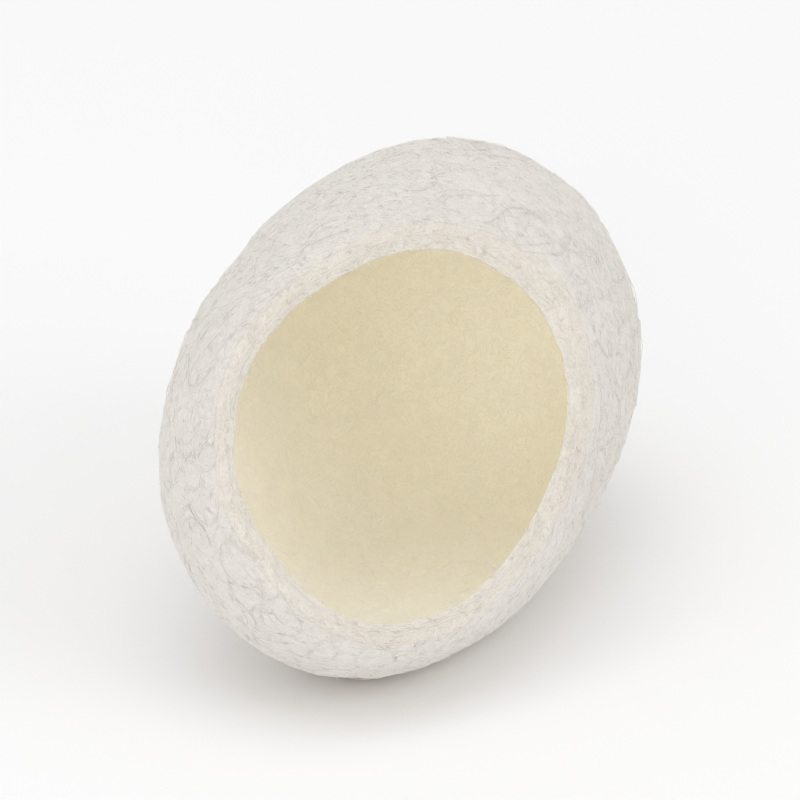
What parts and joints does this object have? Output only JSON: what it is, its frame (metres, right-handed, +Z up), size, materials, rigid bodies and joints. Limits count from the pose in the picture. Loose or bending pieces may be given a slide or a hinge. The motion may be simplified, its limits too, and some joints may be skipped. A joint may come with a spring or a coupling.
{
  "type": "silk cocoon",
  "caption": "Oval felted shell, hollow and open at one end where a slanted cut took the tip off, so that it slips over a fingertip. It lies on its side on a small flat spot.",
  "frame": {"origin": "middle of the bounding box's underside, on the surface that the cocoon rests on", "axes": "+Y along the cocoon's long axis towards its closed end, so that the open mouth faces -Y, up and towards +X; +Z up"},
  "size_m": [0.018, 0.032, 0.0185],
  "materials": {
    "silk": "matt white felted silk, finely wrinkled outside, smoother and cream inside"
  },
  "bodies": {
    "root": {"cocoon": "silk"}
  },
  "joints": []
}
